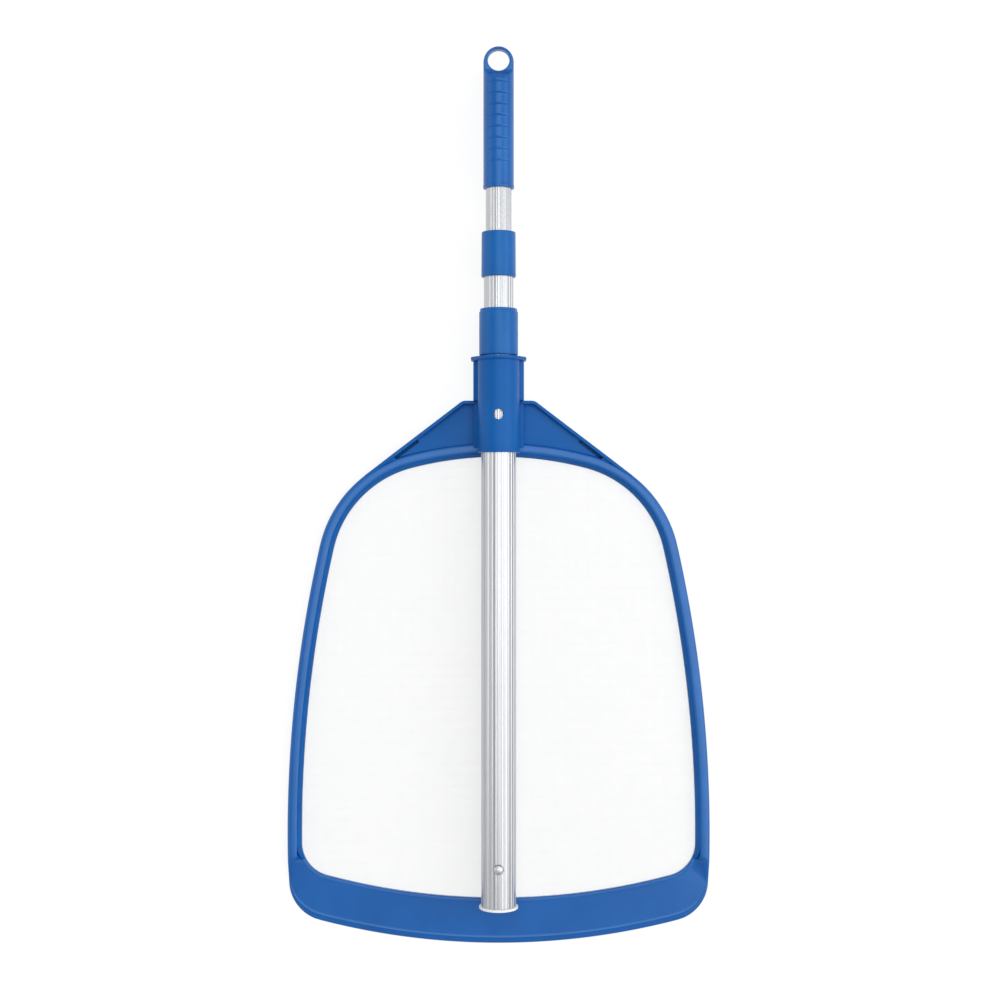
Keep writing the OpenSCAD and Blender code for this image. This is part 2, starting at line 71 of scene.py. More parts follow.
# ---------------------------------------------------------------- sizes and places

RAIL_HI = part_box("hoop_rail")[1]
BLADE_LO, BLADE_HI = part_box("scoop_blade")
NET_LO, NET_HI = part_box("net")
CLAMP_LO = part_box("net_clamp_ring")[0]
BRACKET_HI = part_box("bracket_right")[1]
SOCKET_LO, SOCKET_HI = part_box("pole_socket")
TUBE_LO, TUBE_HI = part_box("outer_tube")
POLE_Z = (TUBE_LO.z + TUBE_HI.z) / 2

# hoop, as its inner edge and the widths outside it
RAIL_W = 12.1 * MM
LEDGE_W = 3.5 * MM
LEDGE_T = NET_LO.z
RIDGE_H = RAIL_HI.z
BLADE_W = 39.6 * MM
BLADE_T = BLADE_HI.z
LIP_W = 7.0 * MM
CORNER_LIP_W = 2.8 * MM
ARCH_R = 300.0 * MM
SHOULDER_R = 93.7 * MM
SIDE_R = 1120.0 * MM
CORNER_IN_R = 29.2 * MM
CORNER_OUT_R = 35.7 * MM
BLADE_R = 580.0 * MM
WIDEST_UP = 57.0 * MM

# bracket
BRACKET_SLOPE = math.radians(37.3)
SLOPE_OUT = Vector((math.sin(BRACKET_SLOPE), math.cos(BRACKET_SLOPE)))
SLOPE_DOWN = Vector((math.cos(BRACKET_SLOPE), -math.sin(BRACKET_SLOPE)))
KNEE_R = 7.0 * MM
WEB_Z = 3.6 * MM
WEB_T = 3.4 * MM
RIB_W = 3.3 * MM
RIB_H = BRACKET_HI.z
RIB_FALL = (4 * MM, 30 * MM)
SLOT_W = 2.2 * MM
SLOT_LEN = 25.0 * MM
SLOT_FLOOR = 0.8 * MM

# socket
SADDLE_W = 43.6 * MM
SADDLE_WALL = 3.6 * MM
CROSS_RIB_T = 2.6 * MM
CROSS_RIB_H = 11.6 * MM
SOCKET_WALL = 2.6 * MM
SOCKET_BORE = TUBE_HI.x - TUBE_LO.x + 0.6 * MM
RIM_T = 3.0 * MM
NOTCH_L = 4.6 * MM
RIM_FOOT = 12.0 * MM
RIM_OVER = 2.1 * MM
HOLE_UP = 32.3 * MM
HOLE_D = 9.0 * MM

# pole
MIDDLE_LO, MIDDLE_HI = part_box("middle_tube")
INNER_LO, INNER_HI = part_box("inner_tube")
MIDDLE_D = MIDDLE_HI.x - MIDDLE_LO.x
INNER_D = INNER_HI.x - INNER_LO.x
TUBE_BORE = TUBE_HI.x - TUBE_LO.x - 2.4 * MM
COLLAR_PLAY = 0.35 * MM
COLLAR_CAP = 10.4 * MM
PLUG_T = 2.2 * MM
BUTTON_D = 8.0 * MM
BUTTON_DOME = 1.6 * MM
BUTTON_FLANGE = 0.7 * MM
SPRING_T = 0.8 * MM
SPRING_BEND = 2.5 * MM
SPRING_PAD = 12.0 * MM
GRIP_LO, GRIP_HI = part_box("grip")
GRIP_D = GRIP_HI.x - GRIP_LO.x
GRIP_INSERT = 81.5 * MM
GRIP_STEPS = 72
TAB_T = 9.5 * MM
HANG_D = 18.7 * MM
HANG_UP = 1.3 * MM
GROOVES = 8
GROOVE_UP = 22.8 * MM
GROOVE_PITCH = 9.56 * MM
GROOVE_W = 1.9 * MM
GROOVE_DEPTH = 0.45 * MM

# net, with threads close enough to hold back leaves and sand
MESH_PITCH = 0.8 * MM
THREAD_W = 0.16 * MM


# ---------------------------------------------------------------- plane geometry

def polar(center, radius, angle):
    return Vector((center[0] + radius * math.cos(angle), center[1] + radius * math.sin(angle)))


def angle_to(a, b):
    return math.atan2(b[1] - a[1], b[0] - a[0])


def meet(a, ra, b, rb):
    """Where two circles cross, to the right of the line from a to b."""
    a = Vector(a)
    line = Vector(b) - a
    d = line.length
    along = (ra * ra - rb * rb + d * d) / (2 * d)
    across = math.sqrt(ra * ra - along * along)
    unit = line / d
    return a + unit * along + Vector((unit.y, -unit.x)) * across


def smoothstep(low, high, value):
    t = min(max((value - low) / (high - low), 0.0), 1.0)
    return t * t * (3 - 2 * t)


def lerp(a, b, t):
    return a + (b - a) * t


ARCH_Y = RAIL_HI.y - RAIL_W
BLADE_Y = BLADE_LO.y + BLADE_W
ARCH_C = Vector((0, ARCH_Y - ARCH_R))
BLADE_C = Vector((0, BLADE_Y + BLADE_R))
SIDE_C = Vector((RAIL_HI.x - RAIL_W - SIDE_R, BLADE_Y + WIDEST_UP))
SHOULDER_C = meet(ARCH_C, ARCH_R - SHOULDER_R, SIDE_C, SIDE_R - SHOULDER_R)
CORNER_IN_C = meet(SIDE_C, SIDE_R - CORNER_IN_R, BLADE_C, BLADE_R - CORNER_IN_R)
SIDE_OUT_R = SIDE_R + RAIL_W
SHOULDER_OUT_R = SHOULDER_R + RAIL_W
LIP_R = BLADE_R + BLADE_W
CORNER_OUT_C = meet(SIDE_C, SIDE_OUT_R - CORNER_OUT_R, BLADE_C, LIP_R - CORNER_OUT_R)
ARCH_END = angle_to(ARCH_C, SHOULDER_C)
SHOULDER_END = angle_to(SIDE_C, SHOULDER_C)
SIDE_END = angle_to(SIDE_C, CORNER_IN_C)
BLADE_START = angle_to(BLADE_C, CORNER_IN_C)
RIM_END = angle_to(SIDE_C, CORNER_OUT_C)
LIP_START = angle_to(BLADE_C, CORNER_OUT_C)

# how far round the inner corner the ledge runs, where it steps up into the blade, and how the
# clamp strip falls off over its last stations and ends inside the step
CLAMP_END = math.radians(-23)
LEDGE_STEP = (CLAMP_END - math.radians(3.4), CLAMP_END - math.radians(1.6))
STRIP_END = CLAMP_END - math.radians(3.6)
STRIP_TAPER = 14
STRIP_LEAST = 0.12
# where the ridge fades out round the outer corner
FADE_TOP = CORNER_IN_C.y - 0.38 * CORNER_IN_R
FADE_LOW = CORNER_IN_C.y - 1.25 * CORNER_IN_R


def ray_length(start, way, center, radius):
    """Distance from a point inside a circle to the circle."""
    rel = start - center
    b = rel.dot(way)
    return -b + math.sqrt(b * b - rel.length_squared + radius * radius)


def width_at(start, way, plain):
    """Width of the frame outside its inner edge, from the point start."""
    if plain:
        return RAIL_W
    w = min(
        ray_length(start, way, SIDE_C, SIDE_OUT_R),
        ray_length(start, way, BLADE_C, LIP_R),
    )
    turn = angle_to(CORNER_OUT_C, start + way * w)
    if LIP_START < turn < RIM_END:
        w = ray_length(start, way, CORNER_OUT_C, CORNER_OUT_R)
    return w


def right_stations():
    """Stations up the right side: (inner point, outward way, width, kind of arc, angle on it)."""
    arcs = (
        (BLADE_C, BLADE_R, -math.pi / 2, BLADE_START, 28, "blade"),
        (CORNER_IN_C, CORNER_IN_R, BLADE_START, SIDE_END, 72, "corner"),
        (SIDE_C, SIDE_R, SIDE_END, SHOULDER_END, 40, "side"),
        (SHOULDER_C, SHOULDER_R, SHOULDER_END, ARCH_END, 44, "shoulder"),
        (ARCH_C, ARCH_R, ARCH_END, math.pi / 2, 24, "arch"),
    )
    found = []
    for center, radius, start, end, count, kind in arcs:
        for i in range(count + (kind == "arch")):
            turn = lerp(start, end, i / count)
            inner = polar(center, radius, turn)
            way = Vector((math.cos(turn), math.sin(turn)))
            width = width_at(inner, way, kind in ("shoulder", "arch"))
            found.append((inner, way, width, kind, turn))
    return found


def mirrored(point):
    return Vector((-point.x, point.y))


def loop_stations():
    """Stations all round the hoop, from the middle of the blade."""
    right = right_stations()
    left = [(mirrored(p), mirrored(d), w, kind, turn) for p, d, w, kind, turn in right[1:-1]]
    return right + left[::-1]


# ---------------------------------------------------------------- meshes

def new_object(name, mesh):
    made = bpy.data.objects.new(name, mesh)
    bpy.context.scene.collection.objects.link(made)
    return made


def finish_mesh(bm, name, sharp=32.0, material=None):
    bmesh.ops.remove_doubles(bm, verts=bm.verts, dist=1e-7)
    bmesh.ops.recalc_face_normals(bm, faces=bm.faces)
    mesh = bpy.data.meshes.new(name)
    bm.to_mesh(mesh)
    bm.free()
    for face in mesh.polygons:
        face.use_smooth = True
    mesh.set_sharp_from_angle(angle=math.radians(sharp))
    made = new_object(name, mesh)
    if material:
        made.data.materials.append(material)
    return made


def add_loft(bm, sections, closed=False):
    """Joins rings of points, one ring after the other, and caps the ends of an open run."""
    rings = [[bm.verts.new(p) for p in section] for section in sections]
    count = len(rings[0])
    pairs = list(zip(rings, rings[1:]))
    if closed:
        pairs.append((rings[-1], rings[0]))
    for a, b in pairs:
        for i in range(count):
            j = (i + 1) % count
            bm.faces.new((a[i], a[j], b[j], b[i]))
    if not closed:
        bm.faces.new(rings[0])
        bm.faces.new(rings[-1])


def add_lathe(bm, profile, steps=96, closed=True):
    """Turns a profile of (radius, y) about the pole's axis."""
    rings = []
    for i in range(steps):
        turn = 2 * math.pi * i / steps
        ring = [Vector((r * math.cos(turn), y, POLE_Z + r * math.sin(turn))) for r, y in profile]
        rings.append([bm.verts.new(p) for p in ring])
    count = len(profile)
    for i in range(steps):
        a = rings[i]
        b = rings[(i + 1) % steps]
        for k in range(count if closed else count - 1):
            m = (k + 1) % count
            if profile[k][0] < 1e-9 and profile[m][0] < 1e-9:
                continue
            bm.faces.new((a[k], a[m], b[m], b[k]))


def rounded(points, radius, steps=4):
    """A closed outline in the plane with each corner rounded."""
    out = []
    count = len(points)
    for i in range(count):
        here = Vector(points[i])
        before = Vector(points[i - 1]) - here
        after = Vector(points[(i + 1) % count]) - here
        r = radius[i] if isinstance(radius, (list, tuple)) else radius
        if r <= 0:
            out.append(here)
            continue
        half = before.angle(after) / 2
        reach = min(r / math.tan(half), before.length * 0.49, after.length * 0.49)
        start = here + before.normalized() * reach
        end = here + after.normalized() * reach
        for k in range(steps + 1):
            t = k / steps
            out.append(start.lerp(here, t).lerp(here.lerp(end, t), t))
    return out


# ---------------------------------------------------------------- materials

def linear(r, g, b):
    """A colour given in sRGB, 0 to 255, as scene-linear RGBA."""
    def one(c):
        c = c / 255
        return c / 12.92 if c <= 0.04045 else ((c + 0.055) / 1.055) ** 2.4
    return (one(r), one(g), one(b), 1.0)


class Nodes:
    """Short names for making and joining shader nodes."""

    def __init__(self, name):
        self.material = bpy.data.materials.new(name)
        self.material.use_nodes = True
        self.tree = self.material.node_tree
        self.tree.nodes.clear()
        self.out = self.add("ShaderNodeOutputMaterial")
        self.shader = self.add("ShaderNodeBsdfPrincipled")
        self.join(self.shader, "BSDF", self.out, "Surface")
        self.place = self.add("ShaderNodeTexCoord")

    def add(self, kind, **values):
        node = self.tree.nodes.new(kind)
        for key, value in values.items():
            setattr(node, key, value)
        return node

    def join(self, a, output, b, socket):
        self.tree.links.new(a.outputs[output], b.inputs[socket])

    def stretched(self, scale):
        """Object coordinates scaled by axis."""
        mapping = self.add("ShaderNodeMapping")
        mapping.inputs["Scale"].default_value = scale
        self.join(self.place, "Object", mapping, "Vector")
        return mapping

    def noise(self, scale, detail=3.0, rough=0.5, stretch=(1, 1, 1)):
        node = self.add("ShaderNodeTexNoise")
        node.inputs["Scale"].default_value = scale
        node.inputs["Detail"].default_value = detail
        node.inputs["Roughness"].default_value = rough
        self.join(self.stretched(stretch), "Vector", node, "Vector")
        return node

    def ramp(self, source, output, low, high, start=0.3, end=0.7):
        node = self.add("ShaderNodeValToRGB")
        node.color_ramp.elements[0].position = start
        node.color_ramp.elements[0].color = low
        node.color_ramp.elements[1].position = end
        node.color_ramp.elements[1].color = high
        self.join(source, output, node, "Fac")
        return node

    def spread(self, source, output, low, high, start=0.25, end=0.75):
        node = self.add("ShaderNodeMapRange")
        node.inputs["From Min"].default_value = start
        node.inputs["From Max"].default_value = end
        node.inputs["To Min"].default_value = low
        node.inputs["To Max"].default_value = high
        self.join(source, output, node, "Value")
        return node

    def bump(self, source, output, distance, strength=1.0, under=None):
        node = self.add("ShaderNodeBump")
        node.inputs["Distance"].default_value = distance
        node.inputs["Strength"].default_value = strength
        self.join(source, output, node, "Height")
        if under:
            self.join(under, "Normal", node, "Normal")
        return node

    def set(self, **values):
        for key, value in values.items():
            self.shader.inputs[key.replace("_", " ")].default_value = value


def moulded(name, dark, light, low_rough, high_rough, specular=0.28, tint=(1, 1, 1, 1)):
    """Injection-moulded plastic: slow drift of shade, faint flow marks and a fine satin grain."""
    n = Nodes(name)
    drift = n.noise(22, detail=4, rough=0.55)
    colour = n.ramp(drift, "Fac", dark, light, 0.35, 0.68)
    n.join(colour, "Color", n.shader, "Base Color")
    patches = n.noise(90, detail=5, rough=0.6)
    gloss = n.spread(patches, "Fac", low_rough, high_rough)
    n.join(gloss, "Result", n.shader, "Roughness")
    waves = n.noise(70, detail=2, rough=0.4)
    soft = n.bump(waves, "Fac", 0.15 * MM, 0.25)
    fine = n.noise(2600, detail=2, rough=0.5)
    grained = n.bump(fine, "Fac", 0.012 * MM, 0.6, soft)
    n.join(grained, "Normal", n.shader, "Normal")
    n.set(IOR=1.5, Specular_IOR_Level=specular, Specular_Tint=tint)
    return n.material


def brushed(name, dark, light, low_rough, high_rough):
    """Extruded aluminium: streaks along the pole, with a fine matt etch."""
    n = Nodes(name)
    along = n.noise(1, detail=5, rough=0.65, stretch=(900, 6, 900))
    colour = n.ramp(along, "Fac", dark, light, 0.3, 0.72)
    n.join(colour, "Color", n.shader, "Base Color")
    cloud = n.noise(40, detail=4, rough=0.6, stretch=(1, 0.3, 1))
    gloss = n.spread(cloud, "Fac", low_rough, high_rough)
    n.join(gloss, "Result", n.shader, "Roughness")
    etched = n.noise(3500, detail=2)
    matt = n.bump(etched, "Fac", 0.004 * MM, 0.5)
    drawn = n.bump(along, "Fac", 0.004 * MM, 0.8, matt)
    n.join(drawn, "Normal", n.shader, "Normal")
    n.set(Metallic=1.0)
    return n.material


def steel(name, dark, light, low_rough, high_rough):
    """Steel with a faint cloud of handling marks."""
    n = Nodes(name)
    cloud = n.noise(260, detail=5, rough=0.6)
    colour = n.ramp(cloud, "Fac", dark, light, 0.3, 0.7)
    n.join(colour, "Color", n.shader, "Base Color")
    gloss = n.spread(cloud, "Fac", low_rough, high_rough)
    n.join(gloss, "Result", n.shader, "Roughness")
    fine = n.noise(3000, detail=2, stretch=(1, 0.2, 1))
    marks = n.bump(fine, "Fac", 0.004 * MM, 0.5)
    n.join(marks, "Normal", n.shader, "Normal")
    n.set(Metallic=1.0)
    return n.material


def nylon(name):
    """White monofilament, a little translucent."""
    n = Nodes(name)
    drift = n.noise(120, detail=3)
    colour = n.ramp(drift, "Fac", linear(236, 238, 240), linear(248, 249, 250))
    n.join(colour, "Color", n.shader, "Base Color")
    twist = n.noise(4000, detail=2)
    gloss = n.spread(twist, "Fac", 0.3, 0.5)
    n.join(gloss, "Result", n.shader, "Roughness")
    n.set(IOR=1.53, Specular_IOR_Level=0.4, Alpha=0.3)
    return n.material


# the pigment tints the plastic's gloss a little
GLOSS_TINT = (0.6, 0.85, 1.0, 1.0)


def blue(name, dark, light, roughness, specular):
    """Blue plastic between two shades of it, given in sRGB."""
    return moulded(name, linear(*dark), linear(*light), *roughness, specular, GLOSS_TINT)


BLUE = blue("blue_plastic", (3, 87, 164), (8, 94, 172), (0.36, 0.46), 0.3)
HOOP_BLUE = blue("hoop_blue_plastic", (2, 86, 167), (6, 93, 175), (0.28, 0.36), 0.8)
POLE_BLUE = blue("pole_blue_plastic", (8, 92, 167), (14, 99, 176), (0.32, 0.42), 0.45)
GRIP_BLUE = blue("grip_blue_plastic", (2, 88, 168), (8, 95, 177), (0.26, 0.34), 0.6)
WHITE = moulded("white_plastic", linear(247, 248, 249), linear(252, 252, 252), 0.34, 0.44)
ALUMINIUM = brushed("tube_aluminium", linear(184, 186, 189), linear(201, 203, 206), 0.26, 0.36)
SPRING_STEEL = steel("spring_steel", linear(150, 152, 156), linear(190, 192, 196), 0.22, 0.36)
BUTTON_STEEL = steel("button_steel", linear(196, 198, 202), linear(214, 215, 218), 0.42, 0.52)
NET_WHITE = nylon("net_mesh")


def dress(node, material):
    """Gives a solid that is shown as packed its material."""
    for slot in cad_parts[node].material_slots:
        slot.material = material


def keep(piece, body, slot, *nodes):
    """Puts a finished piece on its body, in place of the nodes that it stands for."""
    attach(piece, body)
    if nodes:
        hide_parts(*nodes)
    return piece


# ---------------------------------------------------------------- hoop and blade

def frame_section(width, ridge, ledge, lip_w):
    """Section of the frame from its inner edge, as (outward, up). ridge and ledge run from 0,
    the flat blade, to 1, the rail with its raised ridge and the low ledge under the net."""
    t = BLADE_T
    inner = [
        # rail: outward, up; blade: outward, up
        (0.35, 0.0, 0.4, 0.0),
        (0.0, 0.35, 0.0, 0.4),
        (0.0, LEDGE_T / MM - 0.3, 0.0, t / MM - 1.7),
        (0.1, LEDGE_T / MM - 0.1, 0.25, t / MM - 0.9),
        (0.3, LEDGE_T / MM, 0.7, t / MM - 0.4),
        (1.0, LEDGE_T / MM, 1.3, t / MM - 0.24),
        (1.8, LEDGE_T / MM, 1.8, t / MM - 0.3),
        (2.4, LEDGE_T / MM, 2.1, t / MM - 0.05),
        (2.7, LEDGE_T / MM, 2.45, t / MM),
        (3.0, LEDGE_T / MM, 2.85, t / MM - 0.12),
        (LEDGE_W / MM - 0.05, LEDGE_T / MM, 3.2, t / MM - 0.4),
        (LEDGE_W / MM, LEDGE_T / MM + 0.05, LEDGE_W / MM + 0.1, t / MM - 0.42),
    ]
    section = []
    for rail_u, rail_z, blade_u, blade_z in inner:
        section.append((lerp(blade_u, rail_u, ledge) * MM, lerp(blade_z, rail_z, ledge) * MM))
    outer = [
        # rail: inward from the outer edge, drop below the ridge's top; blade: inward, drop
        (8.6, 1.0, 9.5, 1.15),
        (8.5, 0.8, 8.6, 1.18),
        (8.2, 0.6, 7.4, 1.2),
        (7.7, 0.4, 6.2, 1.22),
        (7.1, 0.2, 5.7, 1.06),
        (6.3, 0.06, 5.3, 0.98),
        (5.2, 0.0, 4.9, 1.06),
        (4.2, 0.0, 4.4, 1.36),
        (3.1, 0.08, 3.4, 1.52),
        (2.1, 0.3, 2.2, 1.65),
        (1.35, 0.68, 1.4, 1.8),
        (0.75, 1.25, 0.75, 2.1),
        (0.3, 2.05, 0.25, 2.6),
        (0.1, 2.9, 0.05, 3.1),
        (0.0, 3.8, 0.0, 3.5),
    ]
    squeeze = lip_w / LIP_W
    for rail_d, rail_drop, blade_d, blade_drop in outer:
        d = lerp(blade_d * squeeze, rail_d, ridge) * MM
        z = lerp(t - blade_drop * MM, RIDGE_H - rail_drop * MM, ridge)
        section.append((width - d, z))
    section.append((width, 0.45 * MM))
    section.append((width - 0.4 * MM, 0.0))
    return section


def station_section(station):
    inner, way, width, kind, turn = station
    outer = inner + way * width
    ridge = 1.0
    ledge = 1.0
    lip_w = LIP_W
    if kind == "blade":
        ridge = 0.0
        ledge = 0.0
    if kind == "corner":
        ridge = smoothstep(FADE_LOW, FADE_TOP, outer.y)
        ledge = smoothstep(*LEDGE_STEP, turn)
        share = smoothstep(BLADE_START, lerp(BLADE_START, SIDE_END, 0.5), turn)
        lip_w = lerp(LIP_W, CORNER_LIP_W, share)
    flat = frame_section(width, ridge, ledge, lip_w)
    return [Vector((*(inner + way * u), z)) for u, z in flat]


def make_hoop():
    bm = bmesh.new()
    add_loft(bm, [station_section(s) for s in loop_stations()], closed=True)
    return finish_mesh(bm, "hoop_frame", 34, HOOP_BLUE)


def make_clamp_strip():
    """Strip that holds the net down on the rail's ledge, its top leaning in over the net."""
    low = CLAMP_LO.z + 0.02 * MM
    outer_top = RIDGE_H - 1.05 * MM
    inner_top = low + 1.4 * MM
    profile = rounded(
        [
            (0.1 * MM, low),
            (0.1 * MM, inner_top),
            (LEDGE_W - 0.35 * MM, outer_top),
            (LEDGE_W + 0.05 * MM, outer_top - 0.35 * MM),
            (LEDGE_W + 0.05 * MM, low),
        ],
        [0.2 * MM, 0.6 * MM, 0.4 * MM, 0.1 * MM, 0.0],
        3,
    )
    right = []
    for inner, way, _, kind, turn in right_stations():
        if kind != "blade" and not (kind == "corner" and turn < STRIP_END):
            right.append((inner, way))
    left = [(mirrored(inner), mirrored(way)) for inner, way in right[:-1]]
    bm = bmesh.new()
    sections = []
    stations = right + left[::-1]
    for i, (inner, way) in enumerate(stations):
        from_end = min(i, len(stations) - 1 - i) / STRIP_TAPER
        share = lerp(STRIP_LEAST, 1.0, smoothstep(0.0, 1.0, from_end))
        sections.append([Vector((*(inner + way * p.x), low + (p.y - low) * share)) for p in profile])
    add_loft(bm, sections)
    return finish_mesh(bm, "net_clamp_strip", 40, BLUE)


# ---------------------------------------------------------------- net

def net_outline():
    """Edge of the net, hidden under the clamp strip and in the blade."""
    edge = LEDGE_W - 0.4 * MM
    return [station[0] + station[1] * edge for station in loop_stations()]


def crossing(outline, axis, value):
    """Lowest and highest place at which a straight line across the outline meets it."""
    other = 1 - axis
    hits = []
    for i, a in enumerate(outline):
        b = outline[(i + 1) % len(outline)]
        if (a[axis] - value) * (b[axis] - value) < 0:
            t = (value - a[axis]) / (b[axis] - a[axis])
            hits.append(lerp(a[other], b[other], t))
    return (min(hits), max(hits)) if len(hits) > 1 else None


def add_thread(bm, axis, place, low, high, height):
    """One straight thread, four-sided, along the axis other than the given one."""
    half = THREAD_W / 2
    ends = []
    for reach in (low, high):
        ring = []
        for side, up in ((-half, -half), (half, -half), (half, half), (-half, half)):
            p = [0.0, 0.0, height + up]
            p[axis] = place + side
            p[1 - axis] = reach
            ring.append(bm.verts.new(p))
        ends.append(ring)
    a, b = ends
    for i in range(4):
        j = (i + 1) % 4
        bm.faces.new((a[i], a[j], b[j], b[i]))
    bm.faces.new(a[::-1])
    bm.faces.new(b)


def make_net():
    outline = net_outline()
    bm = bmesh.new()
    middle = (NET_LO.z + NET_HI.z) / 2
    for axis, height in ((0, middle - THREAD_W * 0.45), (1, middle + THREAD_W * 0.45)):
        low = min(p[axis] for p in outline)
        high = max(p[axis] for p in outline)
        count = int((high - low) / MESH_PITCH)
        start = (low + high) / 2 - count * MESH_PITCH / 2
        for i in range(count + 1):
            place = start + i * MESH_PITCH
            reach = crossing(outline, axis, place)
            if reach and reach[1] - reach[0] > 3 * MESH_PITCH:
                add_thread(bm, axis, place, reach[0], reach[1], height)
    mesh = bpy.data.meshes.new("fine_net")
    bm.to_mesh(mesh)
    bm.free()
    made = new_object("fine_net", mesh)
    made.data.materials.append(NET_WHITE)
    return made


# ---------------------------------------------------------------- brackets

def rib_path():
    """Centre line of the right bracket's rib: flat from the saddle, round the knee, down the
    slope to where it runs along the hoop's shoulder."""
    inset = RIB_W / 2
    tip = SHOULDER_C + SLOPE_OUT * (SHOULDER_OUT_R - inset)
    top = BRACKET_HI.y - inset
    knee = tip - SLOPE_DOWN * ((top - tip.y) / math.sin(BRACKET_SLOPE))
    start = Vector((SADDLE_W / 2 - 5.5 * MM, top))
    reach = KNEE_R * math.tan(BRACKET_SLOPE / 2)
    center = Vector((knee.x - reach, top - KNEE_R))
    path = [start, Vector((lerp(start.x, center.x, 0.5), top))]
    for i in range(9):
        turn = math.pi / 2 - BRACKET_SLOPE * i / 8
        path.append(polar(center, KNEE_R, turn))
    slope_start = path[-1]
    for i in range(1, 13):
        path.append(slope_start.lerp(tip, i / 12))
    return path


def path_normals(path):
    normals = []
    for i in range(len(path)):
        a = path[max(i - 1, 0)]
        b = path[min(i + 1, len(path) - 1)]
        along = (b - a).normalized()
        normals.append(Vector((-along.y, along.x)))
    return normals


def add_rib(bm, path, width, top, low_top, rounding):
    """Rib along a path, its top coming down to low_top over the path's end."""
    half = width / 2
    profile = rounded(
        [(-half, 0.0), (-half * 0.94, top), (half * 0.94, top), (half, 0.0)],
        [0, rounding, rounding, 0],
        5,
    )
    sections = []
    tip = path[-1]
    for point, normal in zip(path, path_normals(path)):
        here = lerp(low_top, top, smoothstep(*RIB_FALL, (point - tip).length))
        sections.append([Vector((*(point + normal * p.x), p.y * here / top)) for p in profile])
    add_loft(bm, sections)


def web_outline():
    """Outline of the right web: under the rib at the outside, into the ridge at the inside."""
    path = rib_path()
    tuck = 4.0 * MM
    top = [Vector((SADDLE_W / 2 - 1.0 * MM, path[0].y))] + path[2:]
    under = []
    steps = 14
    start = math.pi / 2 - BRACKET_SLOPE
    for i in range(steps + 1):
        turn = lerp(start, ARCH_END, i / steps)
        under.append(polar(SHOULDER_C, SHOULDER_OUT_R - tuck, turn))
    last = math.acos((SADDLE_W / 2 - 1.0 * MM) / (ARCH_R + RAIL_W - tuck))
    for i in range(1, steps + 1):
        turn = lerp(ARCH_END, last, i / steps)
        under.append(polar(ARCH_C, ARCH_R + RAIL_W - tuck, turn))
    return top + under


def slot_outline():
    """Narrow slot beside the rib, near its low end."""
    r = SHOULDER_OUT_R
    low = r - RIB_W - SLOT_W
    start = math.sqrt(r * r - (low + SLOT_W / 2) ** 2)
    corners = []
    end = start + SLOT_LEN
    for out, along in ((low, start), (low + SLOT_W, start), (low + SLOT_W, end), (low, end)):
        corners.append(SHOULDER_C + SLOPE_OUT * out - SLOPE_DOWN * along)
    return corners


def grown(corners, by):
    """A four-cornered outline with its corners moved out from the middle."""
    middle = sum(corners, Vector((0, 0))) / len(corners)
    return [c + (c - middle).normalized() * by * 1.4 for c in corners]


def fill_outline():
    """The nook below the slot, where the rib runs into the rail, as a closed outline."""
    r = SHOULDER_OUT_R
    low = r - RIB_W
    start = math.sqrt(r * r - (low - SLOT_W / 2) ** 2)
    tuck = 1.5 * MM
    side = SHOULDER_C + SLOPE_OUT * (low + 0.8 * MM)
    along = [side - SLOPE_DOWN * start * k / 8 for k in range(2, 9)]
    first = angle_to(SHOULDER_C, along[0])
    last = math.pi / 2 - BRACKET_SLOPE + math.atan2(start, r - SLOT_W - RIB_W)
    back = [polar(SHOULDER_C, r - tuck, lerp(last, first, k / 8)) for k in range(9)]
    return along + back


def add_plate(bm, outline, bottom, top):
    low = [bm.verts.new((p.x, p.y, bottom)) for p in outline]
    high = [bm.verts.new((p.x, p.y, top)) for p in outline]
    for i in range(len(outline)):
        j = (i + 1) % len(outline)
        bm.faces.new((low[i], low[j], high[j], high[i]))
    bm.faces.new(low[::-1])
    bm.faces.new(high)


def plate(name, outlines, bottom, top, bevel):
    """A flat plate with softened edges from an outline and its holes."""
    curve = bpy.data.curves.new(name, "CURVE")
    curve.dimensions = "2D"
    curve.fill_mode = "BOTH"
    curve.extrude = (top - bottom) / 2 - bevel
    curve.bevel_depth = bevel
    curve.bevel_resolution = 2
    curve.offset = -bevel
    for outline in outlines:
        spline = curve.splines.new("POLY")
        spline.points.add(len(outline) - 1)
        for point, place in zip(spline.points, outline):
            point.co = (place.x, place.y, 0, 1)
        spline.use_cyclic_u = True
    holder = new_object(name + "_curve", curve)
    bpy.context.view_layer.update()
    mesh = bpy.data.meshes.new_from_object(holder)
    bpy.data.objects.remove(holder)
    bm = bmesh.new()
    bm.from_mesh(mesh)
    bmesh.ops.translate(bm, verts=bm.verts, vec=(0, 0, (top + bottom) / 2))
    bpy.data.meshes.remove(mesh)
    return bm


def make_bracket(side):
    name = "bracket_right" if side > 0 else "bracket_left"
    low = WEB_Z
    top = WEB_Z + WEB_T
    bm = plate(name + "_web", [web_outline(), slot_outline()], low, top, 0.3 * MM)
    pocket = slot_outline()
    wall = grown(pocket, 1.0 * MM)
    for i in range(4):
        j = (i + 1) % 4
        add_plate(bm, [pocket[i], pocket[j], wall[j], wall[i]], SLOT_FLOOR / 2, low + 0.4 * MM)
    add_plate(bm, wall, 0.02 * MM, SLOT_FLOOR)
    add_plate(bm, fill_outline(), low, RIDGE_H - 0.9 * MM)
    add_rib(bm, rib_path(), RIB_W, RIB_H, RIDGE_H - 0.2 * MM, 1.1 * MM)
    if side < 0:
        bmesh.ops.transform(bm, matrix=Matrix.Scale(-1, 4, (1, 0, 0)), verts=bm.verts)
    return finish_mesh(bm, name + "_web", 34, BLUE)


# ---------------------------------------------------------------- socket

